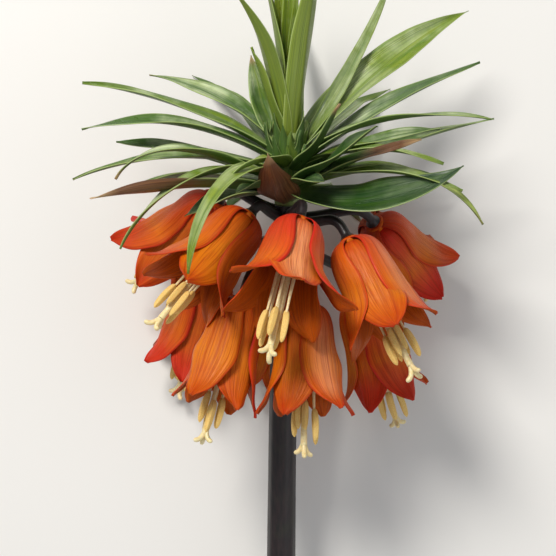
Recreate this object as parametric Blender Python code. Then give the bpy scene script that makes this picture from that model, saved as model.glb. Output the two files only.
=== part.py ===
# Crown imperial fritillary: one cut flowering stem, lying on a flat surface.
#
# The plant is worked out upright, in millimetres, in its own plant space: x to the right,
# y away from the viewer, z up the stem, with the origin where the flower stalks leave the stem.
# laid_down() then turns it on its back, so that the crown points along world +Y, the side
# that faced the viewer points along world +Z, and the rear leaves and the stem's cut end
# touch the surface at world z = 0. World sizes are metres.
import math

import bmesh
import bpy
from mathutils import Matrix, Vector

MM = 0.001

# Driving dimensions of the plant, in millimetres and degrees.
STEM_LENGTH = 292.0  # cut end to the point where the flower stalks leave
STEM_RADIUS_LOW = 6.6
STEM_RADIUS_TOP = 5.2
STEM_BEND = 5.0  # how far the stem bows sideways over its length
STEM_SIDES = 12
STEM_REST = 4.0  # length of the flat spot under its cut end
LEAN = 10.0  # the stem's slope once it lies, crown end up
AXIS_HEIGHT = 56.0  # the stem axis above the surface, where the flower stalks leave

TEPAL_LENGTH = 50.0
OUTER_TEPAL_WIDTH = 20.0
INNER_TEPAL_WIDTH = 23.0
LAYER_GAP = 1.5  # how far the inner three tepals stand inside the outer three
TEPAL_SPREAD = 58.0  # widest half-angle of a tepal round its bell's axis
TEPAL_THICKNESS = 0.8
TEPAL_ROWS = (0.0, 0.1, 0.25, 0.6, 0.86, 1.0)  # shares of its length where it is drawn
TEPAL_STRIPS = 2
PROFILE_STEPS = 100  # short straight steps that its curved profile is summed over
RECEPTACLE_RADIUS = 4.2
RECEPTACLE_DEPTH = 3.2
SHOULDER_ANGLE = 82.0  # tepals leave the stalk nearly square to the bell's axis
SHOULDER_LENGTH = 0.17  # share of the tepal over which they turn down
WALL_ANGLE = 5.0  # how far the bell's wall opens below the shoulder
FLARE_START = 0.45  # share of its length from which a tepal turns outward
FLARE_EARLIER = 300.0  # degrees of flare for each whole length that the turn starts sooner
WIDEST_SHARE = 0.58  # share of its length where a tepal is widest
SINK = 0.15  # how far soft parts sink into the surface before they are cut flat on it

STALK_RADIUS = 1.9
STALK_SIDES = 6
STALK_GAP = 0.35  # between a stalk's end and the bell that it carries
STALK_COLLAR = 1.8  # the last of the stalk, where it widens to meet its bell

FILAMENT_LENGTH = 38.0
FILAMENT_RADIUS = 0.85
ANTHER_LENGTH = 11.0
ANTHER_RADIUS = 1.5
STYLE_LENGTH = 52.0
STYLE_RADIUS = 1.15
OVARY_LENGTH = 11.0
OVARY_RADIUS = 2.3
STIGMA_LENGTH = 4.5

LEAF_THICKNESS = 0.9
LEAF_STEPS = 6
CROWN_CORE_HEIGHT = 34.0  # leafy tip of the stem above the flower stalks
CROWN_CORE_RADIUS = 5.8
CROWN_GAP = 0.35  # between the crown's core and the dark stem below it

# Each bloom: azimuth round the stem (0 faces the viewer, 90 to the right), height and distance
# of its base from the stem's axis, angle of its axis from straight down, sideways swing of its
# axis, roll of its first tepal, and how far each of its six tepals flares at the tip.
BLOOMS = {
    "front": (10, -2, 28, 41, -28, -114, (52, 46, 46, 26, 8, 26)),
    "left_front": (-47, -2, 20, 49, -6, 12, (24, 22, 18, 14, 22, 24)),
    "left_side": (-96, 2, 28, 48, -28, 20, (30, 34, 22, 10, 16, 26)),
    "right_front": (54, -11, 29.5, 35, -7, 14, (24, 24, 18, 10, 14, 26)),
    "right_side": (102, -8, 36, 52, 42, 30, (18, 14, 24, 12, 16, 22)),
    "left_low": (-42, -34, 25, 25, 4, -18, (14, 8, 8, 6, 8, 10)),
    "right_low": (20, -35, 24, 16, -24, 42, (12, 8, 8, 20, 30, 14)),
    "left_rear": (-126, -31, 37, 20, 0, 15, (14, 14, 12, 10, 14, 14)),
    "right_rear": (112, -40, 33, 18, -4, 45, (14, 14, 12, 10, 14, 14)),
    "rear_low": (180, -38, 26, 8, 0, 25, (8, 6, 8, 6, 8, 8)),
}

# Each leaf of the crown: azimuth, height where it leaves the stem, slope at its root and at its
# tip, how late it bends (1 evenly, 3 near the tip), length, width, sideways swing and twist.
LEAVES = [
    # The upright tuft.
    (-42, 19, 86, 44, 1.2, 80, 9.0, -24, 10),
    (-100, 26, 90, 68, 1.2, 84, 8.0, 0, 20),
    (-150, 27, 88, 74, 1.0, 86, 6.5, 0, -30),
    (175, 28, 88, 80, 1.0, 92, 7.5, 0, 15),
    (52, 13, 86, 77, 1.0, 108, 12.5, 38, -40),
    (150, 27, 87, 84, 1.0, 62, 6.0, 0, 25),
    (118, 18, 48, 66, 1.0, 88, 7.0, 6, 60),
    (-70, 21, 78, 64, 1.0, 44, 9.0, 0, 0),
    # Leaves that spread to the left.
    (-128, 22, 58, 74, 1.4, 41, 14.0, 0, -60),
    (-108, 22, 48, 4, 1.0, 66, 11.0, 0, -40),
    (-98, 19, 36, 6, 0.8, 88, 9.0, 0, -25),
    (-86, 16, 36, -16, 1.0, 84, 10.5, 0, -25),
    (-78, 13, 22, -24, 1.0, 86, 9.5, 0, -25),
    (-96, 9, 24, 2, 1.0, 70, 11.0, 0, -40),
    (-68, 9, 24, -64, 3.0, 76, 9.0, 0, 0),
    (-60, 6, 12, -10, 1.0, 84, 10.5, 0, 60),
    (-66, 6, 8, -30, 1.0, 44, 13.0, 0, -20),
    # Leaves that droop in front of the bells.
    (-58, 9, 30, -64, 1.0, 84, 8.5, -4, 10),
    (-27, 8, 34, -78, 1.1, 92, 10.0, -4, 0),
    (-14, 2, 14, 62, 1.2, 38, 16.0, 0, 30),
    (-10, 14, 34, -30, 1.0, 44, 9.0, -44, 20),
    (-32, 6, 22, -18, 1.2, 34, 12.0, -8, 20),
    (16, 7, 24, -6, 1.2, 34, 12.0, 16, 30),
    # Leaves that spread to the right.
    (112, 19, 50, 22, 1.0, 98, 19.0, 0, 55),
    (94, 15, 38, 20, 1.0, 86, 12.0, 0, 35),
    (84, 19, 34, -12, 1.0, 82, 6.5, 0, 0),
    (36, 12, 34, 58, 1.0, 42, 10.0, 8, 40),
    (70, 15, 28, -22, 1.0, 64, 8.5, 0, 20),
    (80, 13, 30, 4, 1.0, 62, 10.0, 0, 35),
    (90, 10, 22, 12, 1.0, 84, 9.5, 0, 25),
    (56, 5, 32, 12, 1.0, 64, 8.5, 0, 60),
    (38, 7, 30, 30, 1.0, 54, 13.0, 12, 50),
    (64, 8, 24, -22, 1.0, 74, 10.5, 0, 25),
    (74, 6, 24, -62, 1.6, 86, 8.5, 0, 0),
    (46, 6.6, -14, 34, 1.0, 76, 20.0, 44, 66),
    # Leaves of the rear, which rest on the surface.
    (-150, 14, 40, 6, 1.0, 84, 10.0, 0, 0),
    (-164, 6, 10, -30, 1.0, 76, 12.0, 0, 0),
    (-120, 7, 12, -20, 1.0, 80, 10.5, 0, 0),
    (176, 18, 52, 30, 1.0, 84, 10.5, 0, 0),
    (148, 12, 36, 4, 1.0, 84, 10.0, 0, 0),
    (162, 4, 8, -30, 1.0, 78, 12.0, 0, 0),
    (124, 8, 14, -18, 1.0, 80, 11.0, 0, 0),
]

# Colours, read by eye: linear red, green, blue.
STEM_DARK = (0.030, 0.035, 0.025)
LEAF_GREEN = (0.17, 0.30, 0.07)
TEPAL_ORANGE = (0.80, 0.16, 0.015)
POLLEN_CREAM = (0.85, 0.62, 0.25)
STYLE_CREAM = (0.80, 0.66, 0.34)


# Plant space and the laid-down pose.
def heading(azimuth, slope):
    """Unit vector at an azimuth round the stem and a slope above the horizontal, in degrees."""
    turn, rise = math.radians(azimuth), math.radians(slope)
    level = math.cos(rise)
    return Vector((math.sin(turn) * level, -math.cos(turn) * level, math.sin(rise)))


LAY_DOWN = Matrix.Rotation(math.radians(LEAN - 90.0), 3, "X")
UP = LAY_DOWN.transposed() @ Vector((0, 0, 1))  # the surface's upward normal, in plant space


def laid_down(point):
    """A plant-space point in millimetres, turned on its back, with the surface at z = 0."""
    return LAY_DOWN @ point + Vector((0, 0, AXIS_HEIGHT))


def height(point):
    return point.dot(UP) + AXIS_HEIGHT


def lift(above, width):
    """How far to raise a point this far above a plane: nothing well above it, all the way to the
    plane well below it, with a smooth change between."""
    if above >= width:
        return 0.0
    if above <= -width:
        return -above
    return (above + width) ** 2 / (4 * width) - above


def pressed(point, clearance, width):
    """The point, raised where it is near or under the surface, so that what lies there flattens."""
    return point + UP * lift(height(point) - clearance, width)


def smooth(low, high, value):
    share = min(1.0, max(0.0, (value - low) / (high - low)))
    return share * share * (3 - 2 * share)


def stem_axis(z):
    """The stem's centre at a height, with its slight sideways bow."""
    share = -z / STEM_LENGTH
    return Vector((-STEM_BEND * share * (1.4 - share), 0, z))


# Solids.
def ring_solid(rings):
    """Closed mesh from rings with the same number of points each: (points, triangles)."""
    sides = len(rings[0])
    points = [p for ring in rings for p in ring]
    faces = []
    for i in range(len(rings) - 1):
        for j in range(sides):
            a, b = i * sides + j, i * sides + (j + 1) % sides
            faces += [(a, b, b + sides), (a, b + sides, a + sides)]
    last = (len(rings) - 1) * sides
    faces += [(0, j + 1, j) for j in range(1, sides - 1)]
    faces += [(last, last + j, last + j + 1) for j in range(1, sides - 1)]
    return points, faces


def tube(centres, radii, sides, turn=0.0, facing=None):
    """A round solid along a line of centres, its corners turned by an angle from a direction."""
    rings = []
    side = facing
    for i, centre in enumerate(centres):
        along = (centres[min(i + 1, len(centres) - 1)] - centres[max(i - 1, 0)]).normalized()
        guess = side if side is not None else along.orthogonal()
        side = (guess - along * guess.dot(along)).normalized()
        other = along.cross(side)
        turns = [turn + 2 * math.pi * j / sides for j in range(sides)]
        rings.append([centre + (side * math.cos(t) + other * math.sin(t)) * radii[i] for t in turns])
    return ring_solid(rings)


def blade(rows, thickness):
    """A closed thin blade. Each row is a list of (middle point, upper normal) across its width.
    Both faces are split along the same diagonals, so that a waved blade never crosses itself."""
    across = len(rows[0])
    points = []
    for row in rows:
        for middle, normal in row:
            points.append(middle + normal * (thickness / 2))
        for middle, normal in row:
            points.append(middle - normal * (thickness / 2))
    step, faces = 2 * across, []
    for i in range(len(rows) - 1):
        base = i * step
        for j in range(across - 1):
            a, b, c, d = base + j, base + j + 1, base + step + j + 1, base + step + j
            faces += [(a, b, c), (a, c, d)]
            a, b, c, d = a + across, b + across, c + across, d + across
            faces += [(a, c, b), (a, d, c)]
        for j, flip in ((0, False), (across - 1, True)):
            a, b = base + j, base + j + across
            c, d = b + step, a + step
            quad = [(a, d, c), (a, c, b)]
            faces += [tuple(reversed(f)) for f in quad] if flip else quad
    for base, flip in ((0, False), ((len(rows) - 1) * step, True)):
        for j in range(across - 1):
            a, b = base + j, base + j + 1
            c, d = b + across, a + across
            quad = [(a, c, b), (a, d, c)]
            faces += [tuple(reversed(f)) for f in quad] if flip else quad
    return points, faces


def new_object(name, solid, material):
    """The solid as an object in the laid-down pose, its faces pointing out."""
    points, faces = solid
    mesh = bpy.data.meshes.new(name)
    world = [laid_down(p) for p in points]
    mesh.from_pydata([Vector((p.x, p.y, max(p.z, 0.0))) * MM for p in world], [], faces)
    shape = bmesh.new()
    shape.from_mesh(mesh)
    bmesh.ops.recalc_face_normals(shape, faces=shape.faces)
    shape.to_mesh(mesh)
    shape.free()
    mesh.materials.append(material)
    obj = bpy.data.objects.new(name, mesh)
    bpy.context.scene.collection.objects.link(obj)
    return obj


def keep_outer_shell(mesh):
    """Fills what the union sealed inside and drops loose scraps: only the largest shell stays."""
    shape = bmesh.new()
    shape.from_mesh(mesh)
    waiting, shells = set(shape.verts), []
    while waiting:
        edge_of_shell = [waiting.pop()]
        shell = set(edge_of_shell)
        while edge_of_shell:
            for edge in edge_of_shell.pop().link_edges:
                for vert in edge.verts:
                    if vert in waiting:
                        waiting.discard(vert)
                        shell.add(vert)
                        edge_of_shell.append(vert)
        shells.append(shell)
    largest = max(shells, key=len)
    bmesh.ops.delete(shape, geom=[v for v in shape.verts if v not in largest], context="VERTS")
    shape.to_mesh(mesh)
    shape.free()


def grown_together(name, core, repeats, material):
    """One node: the core, with every repeat joined into it by one Boolean union."""
    node = new_object(name, core, material)
    group = bpy.data.collections.new(name + "_repeats")
    bpy.context.scene.collection.children.link(group)
    for i, solid in enumerate(repeats):
        piece = new_object(f"{name}_{i}", solid, material)
        bpy.context.scene.collection.objects.unlink(piece)
        group.objects.link(piece)
    union = node.modifiers.new("grown together", "BOOLEAN")
    union.operation = "UNION"
    union.operand_type = "COLLECTION"
    union.collection = group
    union.solver = "MANIFOLD"
    bpy.context.view_layer.objects.active = node
    bpy.ops.object.modifier_apply(modifier=union.name)
    for piece in list(group.objects):
        bpy.data.objects.remove(piece)
    bpy.data.collections.remove(group)
    keep_outer_shell(node.data)
    node.data.shade_smooth()
    node.data.set_sharp_from_angle(angle=math.radians(35))
    return node


def plain_material(name, colour, roughness):
    material = bpy.data.materials.new(name)
    material.use_nodes = True
    shader = material.node_tree.nodes["Principled BSDF"]
    shader.inputs["Base Color"].default_value = (*colour, 1.0)
    shader.inputs["Roughness"].default_value = roughness
    shader.inputs["Metallic"].default_value = 0.0
    return material


# The stem with its flower stalks.
def bloom_frame(azimuth, base_height, reach, tilt, swing):
    """Base point and axis of a bloom, the axis pointing out of its mouth."""
    base = stem_axis(base_height) + heading(azimuth, 0) * reach
    axis = heading(azimuth + swing, tilt - 90.0)
    return base, axis


def stalk(spec):
    """A flower stalk: it leaves the stem outwards, arches over and ends in line with its bell."""
    azimuth, base_height, reach, tilt, swing = spec[:5]
    base, axis = bloom_frame(azimuth, base_height, reach, tilt, swing)
    root = stem_axis(base_height * 0.3 - 4.0) + heading(azimuth, 0) * (STEM_RADIUS_TOP * 0.3)
    end = base - axis * (STALK_GAP + STALK_COLLAR)
    leave = root + heading(azimuth, 14.0 + base_height) * (reach * 0.62)
    arrive = end - axis * (reach * 0.38)
    centres = []
    steps = 4
    for i in range(steps + 1):
        t = i / steps
        u = 1 - t
        centres.append(
            root * u**3 + leave * (3 * u * u * t) + arrive * (3 * u * t * t) + end * t**3
        )
    centres.append(end + axis * STALK_COLLAR)
    radii = [STALK_RADIUS * (1.15 - 0.15 * i / steps) for i in range(steps + 1)]
    radii.append(RECEPTACLE_RADIUS * 0.7)
    return tube(centres, radii, STALK_SIDES)


def make_stem(material):
    """The stem, with a flat side down and its cut end sunk a little, so that it rests flat."""
    heights = [-STEM_LENGTH, STEM_REST - STEM_LENGTH, -220, -165, -110, -60, -20, 0]
    radii = []
    for z in heights:
        share = -z / STEM_LENGTH
        radii.append(STEM_RADIUS_TOP + (STEM_RADIUS_LOW - STEM_RADIUS_TOP) * share)
    core = tube([stem_axis(z) for z in heights], radii, STEM_SIDES, math.pi / STEM_SIDES, UP)
    return grown_together("stem", core, [stalk(spec) for spec in BLOOMS.values()], material)


# Blooms.
def tepal_profile(s, flare):
    """Angle between the tepal and the bell's axis at a share of its length, in degrees."""
    shoulder = SHOULDER_ANGLE * math.exp(-((s / SHOULDER_LENGTH) ** 2))
    return shoulder + WALL_ANGLE + flare * smooth(FLARE_START - flare / FLARE_EARLIER, 1.0, s)


def tepal_width(s):
    """Half-width at a share of the length, as a share of the widest half-width."""
    if s < WIDEST_SHARE:
        return 0.24 + 0.76 * math.sin(math.pi / 2 * s / WIDEST_SHARE)
    beyond = (s - WIDEST_SHARE) / (1 - WIDEST_SHARE)
    return max(0.07, max(0.0, 1 - beyond**2) ** 0.8)


def tepal(base, axis, turn, flare, inner, shares, strips):
    """One tepal as rows of (middle point, outward normal), from the receptacle to its tip. All six
    follow one bell turned round the axis, the inner three inside it, until their tips flare."""
    across_axis = axis.orthogonal().normalized()
    outward = across_axis * math.cos(turn) + axis.cross(across_axis) * math.sin(turn)
    sideways = axis.cross(outward)
    width = INNER_TEPAL_WIDTH if inner else OUTER_TEPAL_WIDTH
    inset = LAYER_GAP if inner else 0.0
    stride = TEPAL_LENGTH / PROFILE_STEPS
    rows, radius, depth = [], 1.2, 0.9
    wanted = [round(share * PROFILE_STEPS) for share in shares]
    for i in range(PROFILE_STEPS + 1):
        s = i / PROFILE_STEPS
        angle = math.radians(tepal_profile(s, flare))
        if i in wanted:
            half = tepal_width(s) * width / 2
            spread = 1 + 1.3 * smooth(0.5, 1.0, s) * flare / 60
            ring = max(0.6, radius - inset * math.cos(angle))
            curl = ring * spread
            limit = min(half / curl, math.radians(TEPAL_SPREAD))
            middle_axis = base + axis * (depth + inset * math.sin(angle)) + outward * (ring - curl)
            row = []
            for j in range(strips + 1):
                u = (2 * j / strips - 1) * limit
                away = outward * math.cos(u) + sideways * math.sin(u)
                row.append((middle_axis + away * curl, away * math.cos(angle) - axis * math.sin(angle)))
            rows.append(row)
        radius += math.sin(angle) * stride
        depth += math.cos(angle) * stride
    return rows


def bell(name, shares=TEPAL_ROWS, strips=TEPAL_STRIPS):
    azimuth, base_height, reach, tilt, swing, roll, flares = BLOOMS[name]
    base, axis = bloom_frame(azimuth, base_height, reach, tilt, swing)
    clearance = TEPAL_THICKNESS / 2 - SINK
    tepals = []
    for k, flare in enumerate(flares):
        rows = tepal(base, axis, math.radians(roll + 60 * k), flare, k % 2 == 1, shares, strips)
        rows = [[(pressed(m, clearance, 2.5), n) for m, n in row] for row in rows]
        tepals.append(blade(rows, TEPAL_THICKNESS))
    ends = [base, base + axis * RECEPTACLE_DEPTH]
    receptacle = tube(ends, [RECEPTACLE_RADIUS, RECEPTACLE_RADIUS * 0.8], 6, math.radians(roll + 30))
    return receptacle, tepals


def stamens(spec):
    """Six filaments with their anthers, joined at their feet by a ring round the ovary."""
    azimuth, base_height, reach, tilt, swing, roll, flares = spec
    base, axis = bloom_frame(azimuth, base_height, reach, tilt, swing)
    across_axis = axis.orthogonal().normalized()
    other = axis.cross(across_axis)
    foot = base + axis * (RECEPTACLE_DEPTH + 1.8)
    parts = []
    for k in range(6):
        turn = math.radians(roll + 60 * k + 30)
        outward = across_axis * math.cos(turn) + other * math.sin(turn)
        length = FILAMENT_LENGTH * (1 + 0.06 * math.sin(2.4 * k + azimuth))
        shape = [
            (0.0, 3.6, FILAMENT_RADIUS * 1.3),
            (length, 5.6, FILAMENT_RADIUS * 0.8),
            (length + ANTHER_LENGTH * 0.25, 5.8, ANTHER_RADIUS),
            (length + ANTHER_LENGTH, 6.4, ANTHER_RADIUS * 0.6),
        ]
        centres = [foot + axis * depth + outward * away for depth, away, _ in shape]
        parts.append(tube(centres, [radius for _, _, radius in shape], 3))
    ring_inner, ring_outer = OVARY_RADIUS + 0.7, 4.3
    outline = [(ring_inner, 0.0), (ring_outer, 0.0), (ring_outer, 1.6), (ring_inner, 1.6)]
    return washer(foot - axis * 0.8, axis, outline, 6, math.radians(roll)), parts


def washer(centre, axis, profile, sides, start):
    """A closed ring turned from a profile of (radius, depth) round the axis."""
    side = axis.orthogonal().normalized()
    other = axis.cross(side)
    points, faces = [], []
    count = len(profile)
    for i in range(sides):
        turn = start + 2 * math.pi * i / sides
        outward = side * math.cos(turn) + other * math.sin(turn)
        points += [centre + outward * r + axis * d for r, d in profile]
    for i in range(sides):
        for j in range(count):
            a, b = i * count + j, i * count + (j + 1) % count
            c, d = (b + count) % (sides * count), (a + count) % (sides * count)
            faces += [(a, b, c), (a, c, d)]
    return points, faces


def pistil(spec):
    """Ovary, style and the three spreading lobes of the stigma."""
    azimuth, base_height, reach, tilt, swing, roll, flares = spec
    base, axis = bloom_frame(azimuth, base_height, reach, tilt, swing)
    across_axis = axis.orthogonal().normalized()
    other = axis.cross(across_axis)
    foot = base + axis * (RECEPTACLE_DEPTH + 0.3)
    shape = [
        (0.0, OVARY_RADIUS * 0.8),
        (OVARY_LENGTH * 0.5, OVARY_RADIUS),
        (OVARY_LENGTH, STYLE_RADIUS),
        (STYLE_LENGTH, STYLE_RADIUS * 1.25),
    ]
    core = tube([foot + axis * d for d, _ in shape], [r for _, r in shape], 5)
    end = foot + axis * (STYLE_LENGTH - 1.0)
    lobes = []
    for k in range(3):
        turn = math.radians(120 * k + roll)
        outward = across_axis * math.cos(turn) + other * math.sin(turn)
        tip = end + (axis * 0.75 + outward * 0.65) * STIGMA_LENGTH
        lobes.append(tube([end, tip], [0.9, 0.8], 3))
    return core, lobes


def make_bloom(name, spec, materials):
    grown_together(f"bell_{name}", *bell(name), materials["tepal"])
    grown_together(f"stamens_{name}", *stamens(spec), materials["anther"])
    grown_together(f"pistil_{name}", *pistil(spec), materials["style"])


# The crown of leaves.
def leaf_width(s):
    if s < 0.3:
        return 0.62 + 0.38 * math.sin(math.pi / 2 * s / 0.3)
    return max(0.06, 1 - ((s - 0.3) / 0.7) ** 1.8)


def leaf(spec, steps, strips=2):
    """Rows of a strap-shaped leaf, grown from the stem outwards. Near the surface it levels off
    and lies flat."""
    azimuth, start, slope_root, slope_tip, lateness, length, width, swing, twist = spec
    point = stem_axis(start) + heading(azimuth, 0) * 1.5
    fine = steps * 6
    step = length / fine
    lowest = -1.5  # the level that a leaf near the surface grows towards, before it is pressed
    settle = 14.0
    rows = []
    for i in range(fine + 1):
        s = i / fine
        slope = slope_root + (slope_tip - slope_root) * s**lateness
        along = heading(azimuth + swing * s, slope)
        drop = along.dot(UP)
        room = max(0.0, height(point) - lowest)
        least = -min(1.0, room / settle)
        if drop < least:
            along = (along - UP * (drop - least)).normalized()
        side = heading(azimuth + swing * s + 90, 0)
        side = (side - along * side.dot(along)).normalized()
        side = Matrix.Rotation(math.radians(twist * s), 3, along) @ side
        level = UP.cross(along)
        near = 1 - smooth(2.0, settle, height(point))
        if level.length > 0.2 and near > 0:
            level = level.normalized() * (1 if level.dot(side) > 0 else -1)
            side = (side * (1 - near) + level * near).normalized()
        normal = along.cross(side).normalized()
        if i % 6 == 0:
            half = leaf_width(s) * width / 2
            keel = 0.34 * half * (1 - near)
            row = []
            for j in range(strips + 1):
                u = 2 * j / strips - 1
                middle = point + side * (half * u) + normal * (keel * (abs(u) ** 1.3 - 0.5))
                facing = (normal - side * (0.4 * u * (1 - near))).normalized()
                row.append((pressed(middle, LEAF_THICKNESS / 2 - SINK, 1.0), facing))
            rows.append(row)
        point = point + along * step
    return rows


def make_crown(material):
    core_low, core_high = CROWN_GAP, CROWN_CORE_HEIGHT
    heights = [core_low, 8, 18, 28, core_high]
    shares = [0.84, 1.0, 1.05, 0.8, 0.2]
    core = tube([stem_axis(z) for z in heights], [CROWN_CORE_RADIUS * k for k in shares], 8)
    leaves = [blade(leaf(spec, LEAF_STEPS), LEAF_THICKNESS) for spec in LEAVES]
    return grown_together("leaf_crown", core, leaves, material)


def centre_on_origin():
    """Moves everything so that the origin is under the middle of the object, on the surface."""
    nodes = [o for o in bpy.context.scene.objects if o.type == "MESH"]
    corners = [v.co for o in nodes for v in o.data.vertices]
    low = Vector([min(c[i] for c in corners) for i in range(3)])
    high = Vector([max(c[i] for c in corners) for i in range(3)])
    shift = Vector((-(low.x + high.x) / 2, -(low.y + high.y) / 2, -low.z))
    for node in nodes:
        node.data.transform(Matrix.Translation(shift))
    return shift


def main():
    for obj in list(bpy.data.objects):
        bpy.data.objects.remove(obj, do_unlink=True)
    materials = {
        "tepal": plain_material("tepal orange", TEPAL_ORANGE, 0.45),
        "anther": plain_material("pollen cream", POLLEN_CREAM, 0.7),
        "style": plain_material("style cream", STYLE_CREAM, 0.5),
    }
    make_stem(plain_material("dark stem", STEM_DARK, 0.5))
    for name, spec in BLOOMS.items():
        make_bloom(name, spec, materials)
    make_crown(plain_material("leaf green", LEAF_GREEN, 0.4))
    return centre_on_origin()


main()
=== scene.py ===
# Crown imperial fritillary, cut and laid on its back: the dressed flower over its frame of solids.
#
# Shapes are grown upright in plant space, in millimetres: x to the viewer's right, y away from the
# viewer, z up the stem, with the origin where the flower stalks leave the stem. layDown() turns
# them into the frame's space, in metres, where the side that faced the viewer looks up.
import math
import random

import bpy
from mathutils import Matrix, Vector, noise


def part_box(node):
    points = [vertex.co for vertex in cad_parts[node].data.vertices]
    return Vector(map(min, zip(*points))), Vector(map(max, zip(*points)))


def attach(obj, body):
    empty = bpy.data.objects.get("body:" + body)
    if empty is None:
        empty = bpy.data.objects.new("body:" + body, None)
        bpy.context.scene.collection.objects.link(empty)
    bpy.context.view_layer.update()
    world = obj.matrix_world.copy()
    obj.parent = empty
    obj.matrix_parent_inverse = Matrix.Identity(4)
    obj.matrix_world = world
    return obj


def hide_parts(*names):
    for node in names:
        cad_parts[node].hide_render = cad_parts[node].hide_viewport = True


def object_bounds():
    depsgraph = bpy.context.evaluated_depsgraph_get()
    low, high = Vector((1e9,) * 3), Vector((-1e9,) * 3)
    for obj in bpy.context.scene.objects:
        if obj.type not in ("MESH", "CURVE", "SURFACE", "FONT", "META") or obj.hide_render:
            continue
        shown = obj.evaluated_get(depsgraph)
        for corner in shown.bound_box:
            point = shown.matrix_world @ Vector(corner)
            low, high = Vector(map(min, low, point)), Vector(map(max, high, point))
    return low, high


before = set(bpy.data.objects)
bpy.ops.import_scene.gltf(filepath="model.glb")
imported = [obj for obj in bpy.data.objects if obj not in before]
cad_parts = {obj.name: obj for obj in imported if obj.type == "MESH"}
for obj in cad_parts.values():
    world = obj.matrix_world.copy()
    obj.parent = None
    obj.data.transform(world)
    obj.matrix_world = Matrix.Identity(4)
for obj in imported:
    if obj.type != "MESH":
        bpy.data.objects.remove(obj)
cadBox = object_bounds()
print("frame loaded:", len(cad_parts), "nodes")

mm = 0.001

# The pose on the surface, the stem and the stalks.
plant = {
    "lean": 10.0,  # slope of the stem, crown end up
    "axisHeight": 56.0,  # of the stem's axis above the surface, where the stalks leave it
    "stemLength": 292.0,
    "stemRadiusLow": 6.6,
    "stemRadiusTop": 5.2,
    "stemBend": 5.0,
    "stemRings": 220,
    "stemSwell": 0.05,
    "stalkRadius": 1.9,
    "stalkCollar": 1.8,  # the last of a stalk, where it widens to meet its bell
    "stalkGap": 0.35,
    "stalkSteps": 28,
    "collarShare": 0.72,  # how wide the collar ends, as a share of the receptacle's radius
    "stalkFollow": 0.3,  # how much of its bloom's height a stalk's root follows
    "stalkDrop": 4.0,  # its root below that
    "stalkOut": 0.3,  # its root out from the stem's axis, as a share of the stem's radius
    "stalkLeave": 0.62,  # how far its curve runs out before it turns, as a share of its reach
    "stalkArrive": 0.38,
    "stalkRise": 14.0,  # degrees
    "stalkRibs": 0.3,  # how high its ribs are, as a share of the stem's
    "stalkFlare": 0.5,  # how much thicker it is where it leaves the stem
}

# Each bloom: azimuth round the stem (0 faces the viewer, 90 to the right), height and distance
# of its base from the stem's axis, angle of its axis from straight down, sideways swing of its
# axis, roll of its first tepal, and how far each of its six tepals flares at the tip.
blooms = {
    "front": (10, -2, 28, 41, -28, -114, (52, 46, 46, 26, 8, 26)),
    "left_front": (-47, -2, 20, 49, -6, 12, (24, 22, 18, 14, 22, 24)),
    "left_side": (-96, 2, 28, 48, -28, 20, (30, 34, 22, 10, 16, 26)),
    "right_front": (54, -11, 29.5, 35, -7, 14, (24, 24, 18, 10, 14, 26)),
    "right_side": (102, -8, 36, 52, 42, 30, (18, 14, 24, 12, 16, 22)),
    "left_low": (-42, -34, 25, 25, 4, -18, (14, 8, 8, 6, 8, 10)),
    "right_low": (20, -35, 24, 16, -24, 42, (12, 8, 8, 20, 30, 14)),
    "left_rear": (-126, -31, 37, 20, 0, 15, (14, 14, 12, 10, 14, 14)),
    "right_rear": (112, -40, 33, 18, -4, 45, (14, 14, 12, 10, 14, 14)),
    "rear_low": (180, -38, 26, 8, 0, 25, (8, 6, 8, 6, 8, 8)),
}


# Plant space and the laid-down pose.
def heading(azimuth, slope):
    turn, rise = math.radians(azimuth), math.radians(slope)
    level = math.cos(rise)
    return Vector((math.sin(turn) * level, -math.cos(turn) * level, math.sin(rise)))


lying = Matrix.Rotation(math.radians(plant["lean"] - 90.0), 3, "X")
up = lying.transposed() @ Vector((0, 0, 1))  # the surface's upward normal, in plant space


def heightOf(point):
    return point.dot(up) + plant["axisHeight"]


def lift(above, width):
    # How far to raise a point this far above a plane: all the way to it from well below it.
    if above >= width:
        return 0.0
    if above <= -width:
        return -above
    return (above + width) ** 2 / (4 * width) - above


def pressed(point, clearance, width):
    return point + up * lift(heightOf(point) - clearance, width)


def smooth(low, high, value):
    share = min(1.0, max(0.0, (value - low) / (high - low)))
    return share * share * (3 - 2 * share)


def stemAxis(z):
    share = -z / plant["stemLength"]
    return Vector((-plant["stemBend"] * share * (1.4 - share), 0, z))


def bloomFrame(spec):
    azimuth, baseHeight, reach, tilt, swing = spec[:5]
    base = stemAxis(baseHeight) + heading(azimuth, 0) * reach
    return base, heading(azimuth + swing, tilt - 90.0)


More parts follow.
